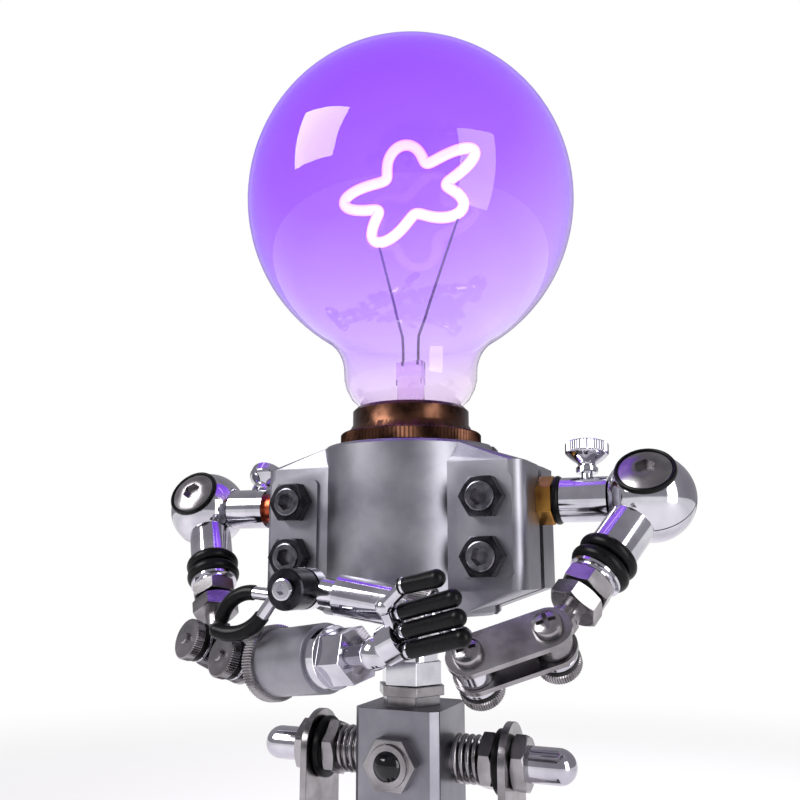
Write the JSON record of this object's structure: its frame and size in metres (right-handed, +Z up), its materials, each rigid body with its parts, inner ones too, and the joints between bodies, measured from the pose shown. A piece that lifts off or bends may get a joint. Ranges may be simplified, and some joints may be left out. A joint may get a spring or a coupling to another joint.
{
  "type": "desk lamp",
  "caption": "Desk lamp shaped like a standing robot with folded arms, a clear globe bulb for its head, jointed arms and a push switch.",
  "frame": {"origin": "on the desk, in the middle of the lamp's overall width and depth", "axes": "+Z up out of the desk, -Y the way the robot's chest faces, +X towards the viewer's right when facing the robot"},
  "size_m": [0.158, 0.109, 0.347],
  "materials": {
    "clear_glass": "polished",
    "glowing_filament": "gloss",
    "bulb_metal": "polished",
    "dark_bronze": "satin",
    "blasted_aluminium": "satin",
    "black_steel": "satin",
    "brass": "satin",
    "chrome": "polished",
    "steel": "satin",
    "black_rubber": "matte",
    "black_plastic": "gloss",
    "dark_steel": "satin"
  },
  "bodies": {
    "pelvis": {"hip_block": "blasted_aluminium", "hip_axle": "steel", "hip_springs": "steel", "hip_nuts": "steel", "hip_discs": "black_rubber", "cap_nuts": "chrome", "switch_bezel": "steel", "cable_gland": "black_plastic", "waist_nuts": "steel"},
    "button": {"switch_button": "black_plastic"},
    "torso": {"front_shell": "blasted_aluminium", "rear_shell": "blasted_aluminium", "chest_spacers": "black_steel", "chest_bolts": "black_steel", "waist_stem": "chrome", "shoulder_studs": "brass", "shoulder_seals": "black_rubber", "lamp_holder": "dark_bronze", "holder_ring": "dark_bronze"},
    "bulb": {"bulb_glass": "clear_glass", "bulb_cap": "bulb_metal", "glass_stem": "clear_glass", "filament": "glowing_filament"},
    "shoulder_right": {"shoulder_socket_right": "chrome"},
    "clamp_right": {"thumb_screw_right": "chrome"},
    "upper_arm_right": {"swivel_cup_right": "chrome", "swivel_cap_right": "blasted_aluminium", "arm_cushions_right": "black_rubber", "arm_nuts_right": "steel", "arm_rod_right": "steel"},
    "link_right": {"link_plates_right": "steel", "link_bolts_right": "chrome"},
    "forearm_right": {"forearm_right": "chrome", "forearm_ring_right": "steel"},
    "hand_right": {"wrist_right": "black_steel", "finger_bases_right": "chrome", "fingers_right": "black_rubber"},
    "thigh_right": {"thigh_right": "steel", "knee_bolts_right": "steel"},
    "shin_right": {"shin_right": "blasted_aluminium"},
    "foot_right": {"foot_right": "dark_steel"},
    "shoulder_left": {"shoulder_socket_left": "chrome"},
    "clamp_left": {"thumb_screw_left": "chrome"},
    "upper_arm_left": {"swivel_cup_left": "chrome", "swivel_cap_left": "blasted_aluminium", "arm_cushions_left": "black_rubber", "arm_nuts_left": "steel", "arm_rod_left": "steel"},
    "link_left": {"link_plates_left": "steel", "link_bolts_left": "chrome"},
    "forearm_left": {"forearm_left": "blasted_aluminium", "forearm_ring_left": "steel", "forearm_nut_left": "chrome", "wrist_ball_left": "chrome"},
    "hand_left": {"finger_bases_left": "chrome", "fingers_left": "black_rubber"},
    "thigh_left": {"thigh_left": "steel", "knee_bolts_left": "steel"},
    "shin_left": {"shin_left": "blasted_aluminium"},
    "foot_left": {"foot_left": "dark_steel"}
  },
  "joints": [
    {"name": "switch_press", "type": "slide", "parent": "pelvis", "child": "button", "axis": [0, 1, 0], "range_m": [0, 0.0015], "stiffness_N_per_m": 800, "springref_m": -0.0005},
    {"name": "waist_turn", "type": "hinge", "parent": "pelvis", "child": "torso", "pos_m": [0, 0.0055, 0.153], "axis": [0, 0, 1], "range_deg": [-60, 60]},
    {"name": "bulb_lift", "type": "slide", "parent": "torso", "child": "bulb", "axis": [0, 0, 1], "range_m": [0, 0.035]},
    {"name": "shoulder_swing_right", "type": "hinge", "parent": "torso", "child": "shoulder_right", "pos_m": [0.066, 0.0055, 0.207], "axis": [-1, 0, 0], "range_deg": [0, 60]},
    {"name": "shoulder_swing_left", "type": "hinge", "parent": "torso", "child": "shoulder_left", "pos_m": [-0.069, 0.0055, 0.207], "axis": [1, 0, 0], "range_deg": [0, 12]},
    {"name": "thumb_screw_turn_right", "type": "hinge", "parent": "shoulder_right", "child": "clamp_right", "pos_m": [0.05003, 0.0055, 0.207], "axis": [0, 0.1736, 0.9848], "continuous": true},
    {"name": "thumb_screw_turn_left", "type": "hinge", "parent": "shoulder_left", "child": "clamp_left", "pos_m": [-0.05303, 0.0055, 0.207], "axis": [0, 0.6428, 0.766], "continuous": true},
    {"name": "arm_swivel_right", "type": "hinge", "parent": "shoulder_right", "child": "upper_arm_right", "pos_m": [0.066, 0.0055, 0.207], "axis": [0, 0.766, -0.6428], "range_deg": [0, 3]},
    {"name": "arm_swivel_left", "type": "hinge", "parent": "shoulder_left", "child": "upper_arm_left", "pos_m": [-0.069, 0.0055, 0.207], "axis": [0, 0.866, -0.5], "range_deg": [0, 60]},
    {"name": "elbow_right", "type": "hinge", "parent": "upper_arm_right", "child": "link_right", "pos_m": [0.04571, -0.02246, 0.17367], "axis": [0, 0.766, -0.6428], "range_deg": [0, 6]},
    {"name": "elbow_left", "type": "hinge", "parent": "upper_arm_left", "child": "link_left", "pos_m": [-0.04787, -0.01716, 0.16776], "axis": [0.3916, 0.8723, -0.2928], "range_deg": [0, 75]},
    {"name": "forearm_pivot_right", "type": "hinge", "parent": "link_right", "child": "forearm_right", "pos_m": [0.02849, -0.02762, 0.16752], "axis": [0, -0.766, 0.6428], "range_deg": [-10, 3]},
    {"name": "forearm_pivot_left", "type": "hinge", "parent": "link_left", "child": "forearm_left", "pos_m": [-0.03112, -0.02565, 0.16486], "axis": [0.3916, 0.8723, -0.2928], "range_deg": [0, 75]},
    {"name": "wrist_turn_right", "type": "hinge", "parent": "forearm_right", "child": "hand_right", "pos_m": [-0.0142, -0.02952, 0.1843], "axis": [0, 1, 0], "range_deg": [0, 90]},
    {"name": "wrist_turn_left", "type": "hinge", "parent": "forearm_left", "child": "hand_left", "pos_m": [0.01065, -0.04242, 0.17077], "axis": [0, 1, 0], "range_deg": [0, 40]},
    {"name": "hip_swing_right", "type": "hinge", "parent": "pelvis", "child": "thigh_right", "pos_m": [0.0246, 0.0055, 0.14], "axis": [-1, 0, 0], "range_deg": [0, 80]},
    {"name": "knee_bend_right", "type": "hinge", "parent": "thigh_right", "child": "shin_right", "pos_m": [0.0246, 0.0055, 0.078], "axis": [1, 0, 0], "range_deg": [0, 90]},
    {"name": "ankle_tilt_right", "type": "hinge", "parent": "shin_right", "child": "foot_right", "pos_m": [0.0246, 0.0055, 0.021], "axis": [-1, 0, 0], "range_deg": [0, 20]},
    {"name": "hip_swing_left", "type": "hinge", "parent": "pelvis", "child": "thigh_left", "pos_m": [-0.0246, 0.0055, 0.14], "axis": [-1, 0, 0], "range_deg": [0, 80]},
    {"name": "knee_bend_left", "type": "hinge", "parent": "thigh_left", "child": "shin_left", "pos_m": [-0.0246, 0.0055, 0.078], "axis": [1, 0, 0], "range_deg": [0, 90]},
    {"name": "ankle_tilt_left", "type": "hinge", "parent": "shin_left", "child": "foot_left", "pos_m": [-0.0246, 0.0055, 0.021], "axis": [-1, 0, 0], "range_deg": [0, 20]}
  ]
}
